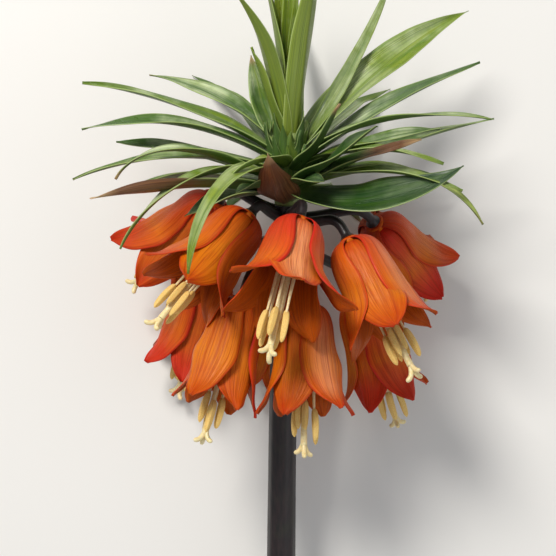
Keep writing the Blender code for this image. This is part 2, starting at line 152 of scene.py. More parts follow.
tepals = {
    "length": 50.0,
    "outerWidth": 20.0,
    "innerWidth": 23.0,
    "layerGap": 1.5,
    "widestAngle": 58.0,
    "shoulderAngle": 82.0,
    "shoulderLength": 0.17,
    "wallAngle": 5.0,
    "flareStart": 0.45,  # share of its length from which a tepal turns outward
    "flareEarlier": 300.0,  # degrees of flare for each whole length that it turns sooner
    "rootShare": 0.24,  # of its full width
    "widestShare": 0.58,
    "raggedness": 0.035,
    "tipSpread": 1.3,  # how much flatter round the bell a flaring tip is
    "rootRadius": 1.2,
    "rootDepth": 0.9,
    "profileSteps": 100,
    "rowEvery": 2,
    "strips": 16,
    "thickness": 0.7,
    "sink": 0.15,
    "ribHeight": 0.13,
    "ribs": 5,
    "midGroove": 0.4,
    "edgeWave": 0.9,
    "buckle": 0.9,
    "tipCurl": 1.6,
    "edgeThin": 0.6,
    "settle": 2.5,  # how softly a tepal meets the surface
    "ordinaryRed": (0.1, 0.5),
    # How much salmon painted highlight an ordinary tepal has down its middle, drawn at random between
    # these.
    "ordinaryHighlight": (0.0, 0.1),
    "solidRows": (0.0, 0.1, 0.25, 0.6, 0.86, 1.0),  # where the frame's own tepals have their corners
    "solidThickness": 0.8,
}

# The tepals that stand out in the photograph: the reddest ones, and those with a salmon painted highlight
# down the middle, by bloom and by place round the bell.
redTepals = {
    "front": {0: 1.0, 1: 0.5, 2: 1.0},
    "left_front": {0: 0.5},
    "left_side": {0: 0.7, 1: 1.0, 2: 0.9},
    "right_front": {4: 0.7},
    "right_side": {0: 0.6, 1: 1.0, 2: 0.5},
    "left_low": {4: 0.9},
    "right_low": {3: 0.6},
    "left_rear": {0: 0.9, 5: 0.9},
    "right_rear": {4: 0.9, 5: 0.9},
}
paintedHighlightTepals = {
    "front": {0: 0.5, 1: 1.0},
    "left_side": {1: 0.5},
    "right_front": {4: 0.6},
    "right_low": {4: 0.9},
}


# Tepals and leaves are rows of (middle point, normal, share along, share across).
def tepalProfile(s, flare):
    shoulder = tepals["shoulderAngle"] * math.exp(-((s / tepals["shoulderLength"]) ** 2))
    start = tepals["flareStart"] - flare / tepals["flareEarlier"]
    return shoulder + tepals["wallAngle"] + flare * smooth(start, 1.0, s)


def tepalWidth(s):
    root, widest = tepals["rootShare"], tepals["widestShare"]
    if s < widest:
        return root + (1 - root) * math.sin(math.pi / 2 * s / widest)
    return max(0.07, max(0.0, 1 - ((s - widest) / (1 - widest)) ** 2.0) ** 0.8)


def tepalRows(spec, k, strips, seed, wanted, relief):
    base, axis = bloomFrame(spec)
    turn, flare, inner = math.radians(spec[5] + 60 * k), spec[6][k], k % 2 == 1
    acrossAxis = axis.orthogonal().normalized()
    outward = acrossAxis * math.cos(turn) + axis.cross(acrossAxis) * math.sin(turn)
    sideways = axis.cross(outward)
    width = tepals["innerWidth"] if inner else tepals["outerWidth"]
    inset = tepals["layerGap"] if inner else 0.0
    steps = tepals["profileSteps"]
    stride = tepals["length"] / steps
    rows, radius, depth = [], tepals["rootRadius"], tepals["rootDepth"]
    for i in range(steps + 1):
        s = i / steps
        angle = math.radians(tepalProfile(s, flare))
        if i in wanted:
            ragged = 1 + relief * tepals["raggedness"] * noise.noise(Vector((s * 7, seed, 0)))
            half = tepalWidth(s) * width / 2 * ragged
            spread = 1 + tepals["tipSpread"] * smooth(0.5, 1.0, s) * flare / 60
            ring = max(0.6, radius - inset * math.cos(angle))
            curl = ring * spread
            limit = min(half / curl, math.radians(tepals["widestAngle"]))
            onAxis = base + axis * (depth + inset * math.sin(angle)) + outward * (ring - curl)
            row = []
            for j in range(strips + 1):
                u = 2 * j / strips - 1
                away = outward * math.cos(u * limit) + sideways * math.sin(u * limit)
                normal = away * math.cos(angle) - axis * math.sin(angle)
                middle = onAxis + away * curl + normal * (relief * tepalRelief(s, u, seed))
                row.append((middle, normal, s, u))
            rows.append(row)
        radius += math.sin(angle) * stride
        depth += math.cos(angle) * stride
    return rows


def tepalRelief(s, u, seed):
    # Ribs, the groove down the middle, waved edges and the curled tip, in millimetres.
    body = smooth(0.08, 0.3, s) * (1 - smooth(0.82, 1.0, s))
    ribs = tepals["ribHeight"] * math.cos(u * math.pi * tepals["ribs"]) * body
    groove = -tepals["midGroove"] * math.exp(-((u / 0.1) ** 2)) * body
    wave = math.sin(2 * math.pi * (2.2 * s + seed * 0.37) + (1.5 if u > 0 else 0.0))
    edge = tepals["edgeWave"] * abs(u) ** 2.5 * wave * smooth(0.3, 0.65, s)
    buckle = tepals["buckle"] * noise.noise(Vector((s * 3.2, u * 1.3, seed * 5.1)))
    tip = tepals["tipCurl"] * smooth(0.8, 1.0, s) ** 2
    return ribs + groove + edge + buckle * smooth(0.15, 0.5, s) + tip


leaves = {
    "thickness": 0.75,
    "sink": 0.15,
    "steps": 72,
    "strips": 10,
    "rootOut": 1.5,  # from the stem's axis
    "rootShare": 0.62,  # of its full width
    "widestShare": 0.3,
    "raggedness": 0.04,
    "wander": 0.5,
    "keel": 0.45,
    "midGroove": 0.3,
    "edgeWave": 0.7,
    "coreRadius": 5.8,
    "youngLeaves": 26,  # short ones that hug the core
    "youngStart": 2.0,
    "youngRise": 0.5,
    "youngLength": (17.0, 27.0),
    "youngWidth": (5.5, 7.5),
    "youngTilt": (80.0, 88.0),
    "youngTint": (0.15, 0.7),
    "youngBend": 6.0,
    "youngOut": 0.62,  # how far out they stand, as a share of the core's radius
    "youngSteps": 36,
    "goldenAngle": 137.5,
    "edgeThin": 0.55,
    "settle": 14.0,  # height over which a leaf levels out above the surface
    "lowest": -1.5,
    "coreSides": 32,
    # Height and share of its radius.
    "coreOutline": [
        (0.35, 0.84), (3, 0.95), (8, 1.0), (13, 1.03), (18, 1.05),
        (23, 0.96), (28, 0.8), (31, 0.52), (34, 0.2),
    ],
}

# Each leaf: azimuth, height where it leaves the stem, slope at its root and at its tip, how late
# it bends, length, width, sideways swing, twist; then its lightness (0 dark, 1 yellow-green), whose
# darkest values are partly painted shade, and how much of it has dried brown from the tip.
leafTable = [
    # The upright tuft.
    (-42, 19, 86, 44, 1.2, 80, 9, -24, 10, 0.95, 0),
    (-100, 26, 90, 68, 1.2, 84, 8, 0, 20, 0.85, 0),
    (-150, 27, 88, 74, 1, 86, 6.5, 0, -30, 0.8, 0),
    (175, 28, 88, 80, 1, 92, 7.5, 0, 15, 0.7, 0),
    (52, 13, 86, 77, 1, 108, 12.5, 38, -40, 1, 0),
    (150, 27, 87, 84, 1, 62, 6, 0, 25, 0.7, 0),
    (118, 18, 48, 66, 1, 88, 7, 6, 60, 0.6, 0),
    (-70, 21, 78, 64, 1, 44, 9, 0, 0, 0.8, 0),
    # Leaves that spread to the left.
    (-128, 22, 58, 74, 1.4, 41, 14, 0, -60, 0.5, 0.12),
    (-108, 22, 48, 4, 1, 66, 11, 0, -40, 0.45, 0.05),
    (-98, 19, 36, 6, 0.8, 88, 9, 0, -25, 0.55, 0),
    (-86, 16, 36, -16, 1, 84, 10.5, 0, -25, 0.4, 0),
    (-78, 13, 22, -24, 1, 86, 9.5, 0, -25, 0.5, 0.05),
    (-96, 9, 24, 2, 1, 70, 11, 0, -40, 0.3, 0),
    (-68, 9, 24, -64, 3, 76, 9, 0, 0, 0.45, 0.1),
    (-60, 6, 12, -10, 1, 84, 10.5, 0, 60, 0.15, 0.6),
    (-66, 6, 8, -30, 1, 44, 13, 0, -20, 0.4, 0),
    # Leaves that droop in front of the bells.
    (-58, 9, 30, -64, 1, 84, 8.5, -4, 10, 0.6, 0.05),
    (-27, 8, 34, -78, 1.1, 92, 10, -4, 0, 0.7, 0.05),
    (-14, 2, 14, 62, 1.2, 38, 16, 0, 30, 0.1, 1),
    (-10, 14, 34, -30, 1, 44, 9, -44, 20, 0.75, 0),
    # These two short leaves are nearly black: painted shade over the stalks, under the crown.
    (-32, 6, 22, -18, 1.2, 34, 12, -8, 20, 0.2, 0),
    (16, 7, 24, -6, 1.2, 34, 12, 16, 30, 0.1, 0),
    # Leaves that spread to the right.
    (112, 19, 50, 22, 1, 98, 19, 0, 55, 0.65, 0),
    (94, 15, 38, 20, 1, 86, 12, 0, 35, 0.35, 0),
    (84, 19, 34, -12, 1, 82, 6.5, 0, 0, 0.5, 0),
    (36, 12, 34, 58, 1, 42, 10, 8, 40, 0.12, 0.15),
    (70, 15, 28, -22, 1, 64, 8.5, 0, 20, 0.6, 0),
    (80, 13, 30, 4, 1, 62, 10, 0, 35, 0.4, 0),
    (90, 10, 22, 12, 1, 84, 9.5, 0, 25, 0.45, 0),
    (56, 5, 32, 12, 1, 64, 8.5, 0, 60, 0.2, 0.5),
    (38, 7, 30, 30, 1, 54, 13, 12, 50, 0.1, 0),
    (64, 8, 24, -22, 1, 74, 10.5, 0, 25, 0.6, 0),
    (74, 6, 24, -62, 1.6, 86, 8.5, 0, 0, 0.85, 0.05),
    (46, 6.6, -14, 34, 1, 76, 20, 44, 66, 0.1, 0),
    # Leaves of the rear, which rest on the surface.
    (-150, 14, 40, 6, 1, 84, 10, 0, 0, 0.4, 0),
    (-164, 6, 10, -30, 1, 76, 12, 0, 0, 0.4, 0.1),
    (-120, 7, 12, -20, 1, 80, 10.5, 0, 0, 0.5, 0),
    (176, 18, 52, 30, 1, 84, 10.5, 0, 0, 0.6, 0),
    (148, 12, 36, 4, 1, 84, 10, 0, 0, 0.5, 0),
    (162, 4, 8, -30, 1, 78, 12, 0, 0, 0.4, 0.1),
    (124, 8, 14, -18, 1, 80, 11, 0, 0, 0.5, 0),
]


def leafWidth(s):
    root, widest = leaves["rootShare"], leaves["widestShare"]
    if s < widest:
        return root + (1 - root) * math.sin(math.pi / 2 * s / widest)
    return max(0.035, 1 - ((s - widest) / (1 - widest)) ** 1.8)


def leafRows(spec, steps, strips, seed):
    azimuth, start, slopeRoot, slopeTip, lateness, length, width, swing, twist = spec[:9]
    point = stemAxis(start) + heading(azimuth, 0) * leaves["rootOut"]
    lowest, settle = leaves["lowest"], leaves["settle"]
    rows = []
    for i in range(steps + 1):
        s = i / steps
        slope = slopeRoot + (slopeTip - slopeRoot) * s**lateness
        along = heading(azimuth + swing * s, slope)
        drop = along.dot(up)
        least = -min(1.0, max(0.0, heightOf(point) - lowest) / settle)
        if drop < least:
            along = (along - up * (drop - least)).normalized()
        side = heading(azimuth + swing * s + 90, 0)
        side = (side - along * side.dot(along)).normalized()
        side = Matrix.Rotation(math.radians(twist * s), 3, along) @ side
        level = up.cross(along)
        near = 1 - smooth(2.0, settle, heightOf(point))
        if level.length > 0.2 and near > 0:
            level = level.normalized() * (1 if level.dot(side) > 0 else -1)
            side = (side * (1 - near) + level * near).normalized()
        normal = along.cross(side).normalized()
        ragged = 1 + leaves["raggedness"] * noise.noise(Vector((s * 9, seed, 3)))
        half = leafWidth(s) * width / 2 * ragged
        keel = leaves["keel"] * half * (1 - near)
        sway = noise.noise(Vector((s * 4, seed, 8))) * smooth(0.1, 0.5, s)
        wander = side * (leaves["wander"] * sway)
        row = []
        for j in range(strips + 1):
            u = 2 * j / strips - 1
            wave = math.sin(2 * math.pi * (1.6 * s + seed * 0.29) + (2.0 if u > 0 else 0.0))
            rise = keel * (abs(u) ** 1.3 - 0.5)
            rise -= leaves["midGroove"] * math.exp(-((u / 0.14) ** 2)) * (1 - s) * (1 - near)
            rise += leaves["edgeWave"] * wave * abs(u) ** 2 * smooth(0.1, 0.4, s) * (1 - near)
            middle = point + wander + side * (half * u) + normal * rise
            facing = (normal - side * (0.4 * u * (1 - near))).normalized()
            row.append((pressed(middle, leaves["thickness"] / 2 - leaves["sink"], 1.0), facing, s, u))
        rows.append(row)
        point = point + along * (length / steps)
    return rows


def bladeShell(rows, thickness, edgeThin, marks):
    # A closed thin blade: its upper face, its lower face and the rim that joins them.
    across = len(rows[0])
    points, values, faces = [], [], []
    for side, lower in ((1, 0.0), (-1, 1.0)):
        for row in rows:
            for middle, normal, s, u in row:
                half = thickness / 2 * (1 - edgeThin * abs(u) ** 4) * (1 - 0.4 * s**6)
                points.append(middle + normal * (half * side))
                values.append((s, u, lower))
    count = len(rows) * across
    for i in range(len(rows) - 1):
        for j in range(across - 1):
            a = i * across + j
            faces.append((a, a + 1, a + across + 1, a + across))
            faces.append((a + count, a + across + count, a + across + 1 + count, a + 1 + count))
        for a, b in ((i * across, (i + 1) * across), ((i + 2) * across - 1, (i + 1) * across - 1)):
            faces.append((a, b, b + count, a + count))
    last = (len(rows) - 1) * across
    for j in range(across - 1):
        faces.append((j + 1, j, j + count, j + 1 + count))
        faces.append((last + j, last + j + 1, last + j + 1 + count, last + j + count))
    return {"points": points, "values": values, "faces": faces, "marks": marks}


def tubeShell(centres, radii, sides, marks):
    # A round solid along a line of centres, closed by a point at each end.
    points, values, faces = [], [], []
    side = None
    for i, centre in enumerate(centres):
        along = (centres[min(i + 1, len(centres) - 1)] - centres[max(i - 1, 0)]).normalized()
        guess = side if side is not None else along.orthogonal()
        side = (guess - along * guess.dot(along)).normalized()
        other = along.cross(side)
        for j in range(sides):
            t = 2 * math.pi * j / sides
            points.append(centre + (side * math.cos(t) + other * math.sin(t)) * radii[i])
            values.append((i / (len(centres) - 1), 2 * j / sides - 1, 0.0))
    for i in range(len(centres) - 1):
        for j in range(sides):
            a, b = i * sides + j, i * sides + (j + 1) % sides
            faces.append((a, b, b + sides, a + sides))
    first, last = len(points), len(points) + 1
    points += [centres[0], centres[-1]]
    values += [(0.0, 0.0, 1.0), (1.0, 0.0, 1.0)]
    top = (len(centres) - 1) * sides
    for j in range(sides):
        faces.append((first, (j + 1) % sides, j))
        faces.append((last, top + j, top + (j + 1) % sides))
    return {"points": points, "values": values, "faces": faces, "marks": marks}


# The frame's place: the front bell is worked out as the frame's solids have it, and its lowest
# corner is laid on the frame's own box for that node.
def rawPlace(point):
    laid = lying @ point + Vector((0, 0, plant["axisHeight"]))
    return Vector((laid.x, laid.y, max(laid.z, 0.0))) * mm


def frameShift():
    rowSteps = [round(share * tepals["profileSteps"]) for share in tepals["solidRows"]]
    half = tepals["solidThickness"] / 2
    corners = []
    for k in range(6):
        for row in tepalRows(blooms["front"], k, 2, 0, rowSteps, 0.0):
            for middle, normal, _, _ in row:
                corners += [rawPlace(middle + normal * half), rawPlace(middle - normal * half)]
    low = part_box("bell_front")[0]
    return Vector([low[i] - min(c[i] for c in corners) for i in range(3)])


shift = frameShift()
print("plant space laid on the frame, shifted by", [round(v / mm, 2) for v in shift], "mm")


def layDown(point):
    # No raised detail reaches past the frame's own box.
    placed = rawPlace(point) + shift
    return Vector([min(max(placed[i], cadBox[0][i]), cadBox[1][i]) for i in range(3)])


# Materials.
def newMaterial(name, subsurface=0.0, scatter=(1.0, 0.4, 0.1), scatterScale=0.0015):
    material = bpy.data.materials.new(name)
    material.use_nodes = True
    shader = material.node_tree.nodes["Principled BSDF"]
    for part, value in (("Weight", subsurface), ("Radius", scatter), ("Scale", scatterScale)):
        shader.inputs["Subsurface " + part].default_value = value
    return material, material.node_tree, shader


def addNode(tree, kind, **settings):
    node = tree.nodes.new(kind)
    for key, value in settings.items():
        setattr(node, key, value)
    return node


def feed(tree, source, socket):
    # A socket of another node, or a plain value.
    if isinstance(source, bpy.types.NodeSocket):
        tree.links.new(source, socket)
    else:
        socket.default_value = source


def put(tree, kind, sockets, output=0, **settings):
    # A node with these settings and these sockets fed, handed back as one of its outputs.
    node = addNode(tree, kind, **settings)
    for name, source in sockets.items():
        feed(tree, source, node.inputs[name])
    return node.outputs[output]


def readMarks(tree, *names):
    return [put(tree, "ShaderNodeAttribute", {}, "Fac", attribute_name=name) for name in names]


def maths(tree, operation, a, b=0.5, clamp=False):
    return put(tree, "ShaderNodeMath", {0: a, 1: b}, operation=operation, use_clamp=clamp)


def times(tree, product, *others):
    for other in others:
        product = maths(tree, "MULTIPLY", product, other)
    return product


def plus(tree, a, b):
    return maths(tree, "ADD", a, b)


def minus(tree, a, b):
    return maths(tree, "SUBTRACT", a, b)


def ramp(tree, value, stops):
    node = addNode(tree, "ShaderNodeValToRGB")
    elements = node.color_ramp.elements
    while len(elements) < len(stops):
        elements.new(0.5)
    for element, (place, colour) in zip(elements, stops):
        element.position = place
        element.color = (*colour, 1.0) if isinstance(colour, tuple) else (colour, colour, colour, 1.0)
    feed(tree, value, node.inputs["Fac"])
    return node.outputs["Color"]


def blend(tree, share, a, b):
    a, b = [(*tone, 1.0) if isinstance(tone, tuple) else tone for tone in (a, b)]
    return put(tree, "ShaderNodeMix", {0: share, 6: a, 7: b}, 2, data_type="RGBA")


def layered(tree, ground, *layers):
    # Each layer is a share and the colour that it brings.
    for share, colour in layers:
        ground = blend(tree, share, ground, colour)
    return ground


def vectorOf(tree, x, y, z):
    return put(tree, "ShaderNodeCombineXYZ", {0: x, 1: y, 2: z})


def noiseAt(tree, vector, scale, detail=4.0, roughness=0.55):
    sockets = {"Vector": vector, "Scale": scale, "Detail": detail, "Roughness": roughness}
    return put(tree, "ShaderNodeTexNoise", sockets, "Fac")


def objectPoint(tree):
    return put(tree, "ShaderNodeTexCoord", {}, "Object")


def dress(tree, shader, colour, gloss, relief, strength, distance):
    bump = {"Strength": strength, "Distance": distance, "Height": relief}
    feed(tree, colour, shader.inputs["Base Color"])
    feed(tree, gloss, shader.inputs["Roughness"])
    feed(tree, put(tree, "ShaderNodeBump", bump), shader.inputs["Normal"])


def streaks(tree, across, along, tint, count, stretch, detail=3.0):
    # Uneven lines that run along a blade and close up with it towards its ends.
    x, y, z = times(tree, across, count), times(tree, along, stretch), times(tree, tint, 37.0)
    return noiseAt(tree, vectorOf(tree, x, y, z), 1.0, detail, 0.6)


def makeTepalMaterial():
    look = {
        "foot": (0.15, 0.008, 0.003),
        "shoulder": (0.44, 0.030, 0.003),
        "body": (0.55, 0.10, 0.002),
        "light": (0.66, 0.195, 0.002),
        "tip": (0.52, 0.040, 0.004),
        "red": (0.60, 0.014, 0.012),
        # A painted highlight: the salmon laid down the middle of the most brightly lit tepals.
        "salmonHighlight": (0.84, 0.33, 0.14),
        "vein": (0.30, 0.022, 0.001),
        "inside": (0.38, 0.036, 0.002),
        "deepInside": (0.13, 0.008, 0.004),
        "nectar": (0.80, 0.76, 0.60),
        "nectarRing": (0.08, 0.010, 0.012),
    }
    material, tree, shader = newMaterial("tepal", 0.1, (1.0, 0.25, 0.03), 0.0015)
    along, across, tint = readMarks(tree, "along", "across", "tint")
    lower, red, pale = readMarks(tree, "lower", "red", "pale")
    place = objectPoint(tree)
    wide = maths(tree, "ABSOLUTE", across)
    cloud = noiseAt(tree, place, 90.0, 3.0)
    fleck = noiseAt(tree, place, 800.0, 2.0)
    broad = streaks(tree, across, along, tint, 3.5, 1.2)
    coarse = streaks(tree, across, along, tint, 11.0, 1.5)
    fine = streaks(tree, across, along, tint, 34.0, 2.2, 2.0)
    uneven = times(tree, minus(tree, cloud, 0.5), 0.3)
    run = plus(tree, along, uneven)
    ground = ramp(
        tree,
        run,
        [(0.0, look["foot"]), (0.08, look["shoulder"]), (0.26, look["body"]),
         (0.62, look["light"]), (0.88, look["body"]), (1.0, look["tip"])],
    )
    lighter = ramp(tree, broad, [(0.35, 0.0), (0.68, 0.55)])
    # Red shoulders, edges and tips, on some tepals more than on others.
    rim = maths(tree, "POWER", plus(tree, wide, times(tree, uneven, 0.8)), 2.4)
    ends = ramp(tree, run, [(0.05, 1.0), (0.32, 0.8), (0.6, 0.45), (0.85, 1.0)])
    redShare = maths(tree, "MAXIMUM", times(tree, ends, 0.9), rim)
    redShare = maths(tree, "MULTIPLY", redShare, red, True)
    thinRim = ramp(tree, wide, [(0.90, 0.0), (1.0, 0.6)])
    # Painted highlight: the tepals marked "pale" are painted salmon down the middle, in fine streaks,
    # where light falls on them.
    middle = ramp(tree, wide, [(0.1, 1.0), (0.75, 0.0)])
    lengthwise = ramp(tree, along, [(0.12, 0.0), (0.36, 1.0), (0.78, 1.0), (0.93, 0.0)])
    fibres = ramp(tree, coarse, [(0.3, 0.5), (0.6, 1.0)])
    paintedHighlightShare = times(tree, middle, lengthwise, pale, fibres)
    # Darker veins, some coarse and many fine.
    coarseLine = ramp(tree, coarse, [(0.50, 0.0), (0.66, 0.75)])
    fineLine = ramp(tree, fine, [(0.48, 0.0), (0.66, 1.0)])
    lines = maths(tree, "MAXIMUM", coarseLine, times(tree, fineLine, 0.7))
    depth = times(tree, lines, ramp(tree, cloud, [(0.3, 0.6), (0.7, 0.95)]))
    # The inner face is darker and redder towards the foot, with a pale nectar drop there.
    inside = ramp(tree, along, [(0.0, look["deepInside"]), (0.4, look["inside"]), (0.85, look["body"])])
    insideVeined = blend(tree, depth, inside, look["deepInside"])
    spotX = times(tree, across, 0.45)
    spotY = times(tree, minus(tree, along, 0.13), 5.0)
    spread = plus(tree, maths(tree, "POWER", spotX, 2.0), maths(tree, "POWER", spotY, 2.0))
    far = maths(tree, "SQRT", spread)
    ringShare = times(tree, ramp(tree, far, [(0.34, 1.0), (0.42, 0.0)]), lower)
    dropShare = times(tree, ramp(tree, far, [(0.17, 1.0), (0.21, 0.0)]), lower)
    ground = layered(
        tree,
        ground,
        (lighter, look["light"]),
        (redShare, look["red"]),
        (thinRim, look["red"]),
        # The painted highlight down the middle of the lit tepals.
        (paintedHighlightShare, look["salmonHighlight"]),
        (depth, look["vein"]),
        (times(tree, lower, 0.85), insideVeined),
        (ringShare, look["nectarRing"]),
        (dropShare, look["nectar"]),
    )
    gloss = ramp(tree, cloud, [(0.3, 0.34), (0.7, 0.50)])
    relief = plus(tree, times(tree, lines, -1.0), times(tree, fleck, 0.3))
    dress(tree, shader, ground, gloss, relief, 0.6, 0.00022)
    shader.inputs["Specular IOR Level"].default_value = 0.14
    return material


def makeLeafMaterial():
    look = {
        "dark": (0.012, 0.048, 0.010),
        "middle": (0.075, 0.165, 0.016),
        "light": (0.360, 0.440, 0.020),
        # Pale wax on the upper face, made bright enough to serve as painted sheen as well.
        "bloom": (0.72, 0.80, 0.50),
        "under": (0.070, 0.130, 0.030),
        "vein": (0.010, 0.040, 0.008),
        "margin": (0.42, 0.52, 0.18),
        "brown": (0.120, 0.048, 0.018),
        "lightBrown": (0.23, 0.10, 0.035),
        "tan": (0.50, 0.33, 0.16),
        "foot": (0.20, 0.30, 0.07),
    }
    material, tree, shader = newMaterial("leaf", 0.06, (0.4, 1.0, 0.1), 0.0012)
    along, across, tint, lower, dry = readMarks(tree, "along", "across", "tint", "lower", "dry")
    place = objectPoint(tree)
    wide = maths(tree, "ABSOLUTE", across)
    cloud = noiseAt(tree, place, 55.0, 4.0)
    fleck = noiseAt(tree, place, 1100.0, 3.0)
    broad = streaks(tree, across, along, tint, 2.5, 2.2)
    fine = streaks(tree, across, along, tint, 22.0, 1.6, 2.0)
    patch = times(tree, minus(tree, broad, 0.5), 0.8)
    ground = ramp(
        tree,
        plus(tree, tint, patch),
        [(0.0, look["dark"]), (0.45, look["middle"]), (1.0, look["light"])],
    )
    fineLine = ramp(tree, fine, [(0.46, 0.0), (0.64, 1.0)])
    # A pale waxy bloom on the upper face, between the midrib and the edge: partly real wax, partly a
    # painted sheen for the whitish highlights of the glossy leaf.
    waxAndSheen = times(
        tree,
        ramp(tree, wide, [(0.0, 0.1), (0.14, 0.75), (0.75, 1.0), (1.0, 0.35)]),
        ramp(tree, cloud, [(0.43, 0.0), (0.62, 1.0)]),
        ramp(tree, broad, [(0.3, 0.4), (0.6, 1.0)]),
        ramp(tree, along, [(0.05, 0.0), (0.3, 0.8), (0.75, 0.9), (1.0, 0.3)]),
        minus(tree, 1.0, lower),
        ramp(tree, tint, [(0.1, 0.15), (0.35, 1.0), (0.55, 1.0), (0.9, 0.35)]),
        0.8,
    )
    rim = ramp(tree, wide, [(0.92, 0.0), (1.0, 0.6)])
    foot = ramp(tree, along, [(0.0, 0.7), (0.14, 0.0)])
    # Dried brown from the tip, tan at the very end.
    drift = times(tree, minus(tree, cloud, 0.5), 0.25)
    dried = minus(tree, plus(tree, along, drift), minus(tree, 1.0, dry))
    driedShare = ramp(tree, maths(tree, "MULTIPLY", dried, 4.0, True), [(0.0, 0.0), (0.8, 1.0)])
    tanShare = ramp(tree, minus(tree, dried, 0.02), [(0.0, 0.0), (0.1, 1.0)])
    tanShare = times(tree, tanShare, ramp(tree, along, [(0.86, 0.0), (0.97, 1.0)]))
    ground = layered(
        tree,
        ground,
        (waxAndSheen, look["bloom"]),
        (times(tree, fineLine, 0.5), look["vein"]),
        (times(tree, lower, 0.55), look["under"]),
        (rim, look["margin"]),
        (foot, look["foot"]),
        (driedShare, blend(tree, fineLine, look["brown"], look["lightBrown"])),
        (tanShare, look["tan"]),
    )
    gloss = ramp(tree, cloud, [(0.3, 0.26), (0.7, 0.44)])
    relief = plus(tree, times(tree, fineLine, -0.8), times(tree, fleck, 0.25))
    dress(tree, shader, ground, gloss, relief, 0.6, 0.0002)
    return material


def makeStemMaterial():
    look = {
        "dark": (0.006, 0.005, 0.006),
        "brown": (0.024, 0.013, 0.014),
        "green": (0.020, 0.028, 0.011),
        "cut": (0.42, 0.48, 0.26),
    }
    material, tree, shader = newMaterial("stem")
    place = objectPoint(tree)
    lengthened = put(tree, "ShaderNodeMapping", {"Vector": place, "Scale": (1.0, 0.08, 1.0)})
    streak = noiseAt(tree, lengthened, 900.0, 4.0)
    cloud = noiseAt(tree, place, 70.0, 3.0)
    fleck = noiseAt(tree, place, 1600.0, 2.0)
    ground = ramp(tree, streak, [(0.3, look["dark"]), (0.75, look["brown"])])
    greenShare = ramp(tree, cloud, [(0.5, 0.0), (0.75, 0.5)])
    cutShare = readMarks(tree, "lower")[0]
    ground = layered(tree, ground, (greenShare, look["green"]), (cutShare, look["cut"]))
    gloss = ramp(tree, cloud, [(0.3, 0.34), (0.7, 0.5)])
    relief = plus(tree, streak, times(tree, fleck, 0.3))
    dress(tree, shader, ground, gloss, relief, 0.35, 0.0002)
    return material


def makePlainMaterial(name, light, dark, roughness, scale, depth):
    # Pollen-dusted anthers, filaments and styles: two tones in fine grains.
    material, tree, shader = newMaterial(name, 0.15, (1.0, 0.7, 0.3), 0.001)
    place = objectPoint(tree)
    grain = noiseAt(tree, place, scale, 3.0, 0.7)
    cloud = noiseAt(tree, place, 150.0, 2.0)
    ground = ramp(tree, grain, [(0.35, dark), (0.65, light)])
    ground = blend(tree, ramp(tree, cloud, [(0.4, 0.0), (0.8, 0.5)]), ground, dark)
    dress(tree, shader, ground, roughness, grain, 0.6, depth)
    return material


materials = {
    "tepal": makeTepalMaterial(),
    "leaf": makeLeafMaterial(),
    "stem": makeStemMaterial(),
    "pollen": makePlainMaterial("pollen", (0.88, 0.66, 0.24), (0.70, 0.42, 0.10), 0.8, 3200.0, 0.0003),
    "filament": makePlainMaterial("filament", (0.86, 0.78, 0.50), (0.78, 0.60, 0.30), 0.45, 900.0, 0.0001),
    "style": makePlainMaterial("style", (0.84, 0.76, 0.46), (0.76, 0.58, 0.26), 0.4, 900.0, 0.0001),
}
print("materials made:", ", ".join(materials))


# Pieces.
def inScene(name, data):
    thing = bpy.data.objects.new(name, data)
    bpy.context.scene.collection.objects.link(thing)
    return thing


def asPiece(name, mesh):
    mesh.name = name
    return inScene(name, mesh)


def meshOf(name, shells, material):
    # One mesh from several closed shells, with the marks that its material reads.
    points, faces, values = [], [], []
    for shell in shells:
        start = len(points)
        points += [layDown(p) for p in shell["points"]]
        faces += [tuple(start + i for i in face) for face in shell["faces"]]
        values += [(s, u, lower, shell["marks"]) for s, u, lower in shell["values"]]
    mesh = bpy.data.meshes.new(name)
    mesh.from_pydata(points, [], faces)
    channels = {
        "along": [v[0] for v in values],
        "across": [v[1] for v in values],
        "lower": [v[2] for v in values],
    }
    for key in ("tint", "red", "pale", "dry"):
        channels[key] = [v[3].get(key, 0.0) for v in values]
    for key, numbers in channels.items():
        mesh.attributes.new(key, "FLOAT", "POINT").data.foreach_set("value", numbers)
    mesh.materials.append(material)
    mesh.shade_smooth()
    return asPiece(name, mesh)


def pointOutwards(piece):
    # Every shell's faces are turned to point out of it.
    bpy.context.view_layer.objects.active = piece
    piece.select_set(True)
    bpy.ops.object.mode_set(mode="EDIT")
    bpy.ops.mesh.select_all(action="SELECT")
    bpy.ops.mesh.normals_make_consistent(inside=False)
    bpy.ops.object.mode_set(mode="OBJECT")
    piece.select_set(False)


def stand(piece, node):
    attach(piece, "root")
    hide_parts(node)


# The receptacle's outline is listed as shares of its depth and of its radius.
receptacle = {
    "radius": 4.2,
    "depth": 3.2,
    "sides": 36,
    "stamensGap": 0.9,  # from the receptacle to their feet
    "pistilGap": 0.3,
    "outline": [(0.0, 0.75), (0.125, 0.95), (0.5, 1.05), (0.85, 0.95), (1.0, 0.8)],
}


